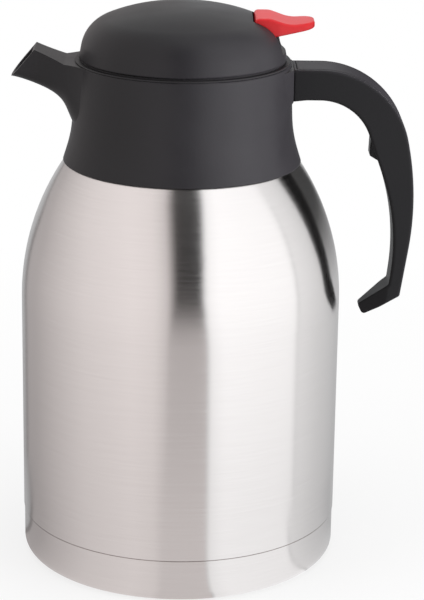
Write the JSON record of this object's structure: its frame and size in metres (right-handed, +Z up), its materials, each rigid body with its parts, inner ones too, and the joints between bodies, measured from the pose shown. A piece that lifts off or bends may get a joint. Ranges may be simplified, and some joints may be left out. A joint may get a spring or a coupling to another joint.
{
  "type": "vacuum jug",
  "caption": "Brushed steel double-wall vacuum jug with a black spout collar, open handle and screw lid, whose red thumb lever lifts a sprung pour valve.",
  "frame": {"origin": "centre of the foot ring, on the surface the jug stands on", "axes": "+Z up along the jug's axis, -X towards the spout, +X towards the handle"},
  "size_m": [0.1865, 0.15, 0.2638],
  "materials": {
    "steel": "satin, brushed around the axis",
    "bright_steel": "drawn wire, bright",
    "getter": "sintered, matt",
    "black_plastic": "fine matt moulded polypropylene",
    "red_plastic": "satin moulded",
    "grey_plastic": "satin moulded",
    "silicone": "matt silicone",
    "black_rubber": "matt"
  },
  "bodies": {
    "jug": {"outer_shell": "steel", "inner_flask": "steel", "vacuum_base": "steel", "vacuum_plug": "steel", "getter": "getter", "base_cup": "steel", "collar": "black_plastic", "neck_gasket": "silicone", "handle": "black_plastic", "handle_cover": "black_plastic", "handle_screws": "bright_steel"},
    "lid_ring": {"lid_seal": "black_rubber"},
    "lid": {"lid_cover": "black_plastic", "stopper": "black_plastic", "stopper_seal": "silicone", "guide_plate": "black_plastic", "lever_pin": "bright_steel", "stem_o_ring": "black_rubber", "return_spring": "bright_steel"},
    "lever": {"thumb_lever": "red_plastic"},
    "valve": {"valve_stem": "grey_plastic", "valve_plug": "grey_plastic", "valve_seal": "silicone"}
  },
  "joints": [
    {"name": "lid_lift", "type": "slide", "parent": "jug", "child": "lid_ring", "axis": [0, 0, 1], "range_m": [0, 0.06]},
    {"name": "lid_turn", "type": "hinge", "parent": "lid_ring", "child": "lid", "pos_m": [0, 0, 0.239], "axis": [0, 0, 1], "range_deg": [0, 180]},
    {"name": "lever_press", "type": "hinge", "parent": "lid", "child": "lever", "pos_m": [0.033, 0, 0.2463], "axis": [0, 1, 0], "range_deg": [0, 12.4]},
    {"name": "valve_lift", "type": "slide", "parent": "lid", "child": "valve", "axis": [0, 0, 1], "range_m": [0, 0.00714], "stiffness_N_per_m": 60, "springref_m": -0.006, "deforming": ["return_spring"]}
  ],
  "couplings": [
    {"joint": "lever_press", "follows": "valve_lift", "rad_per_m": 29.326}
  ]
}
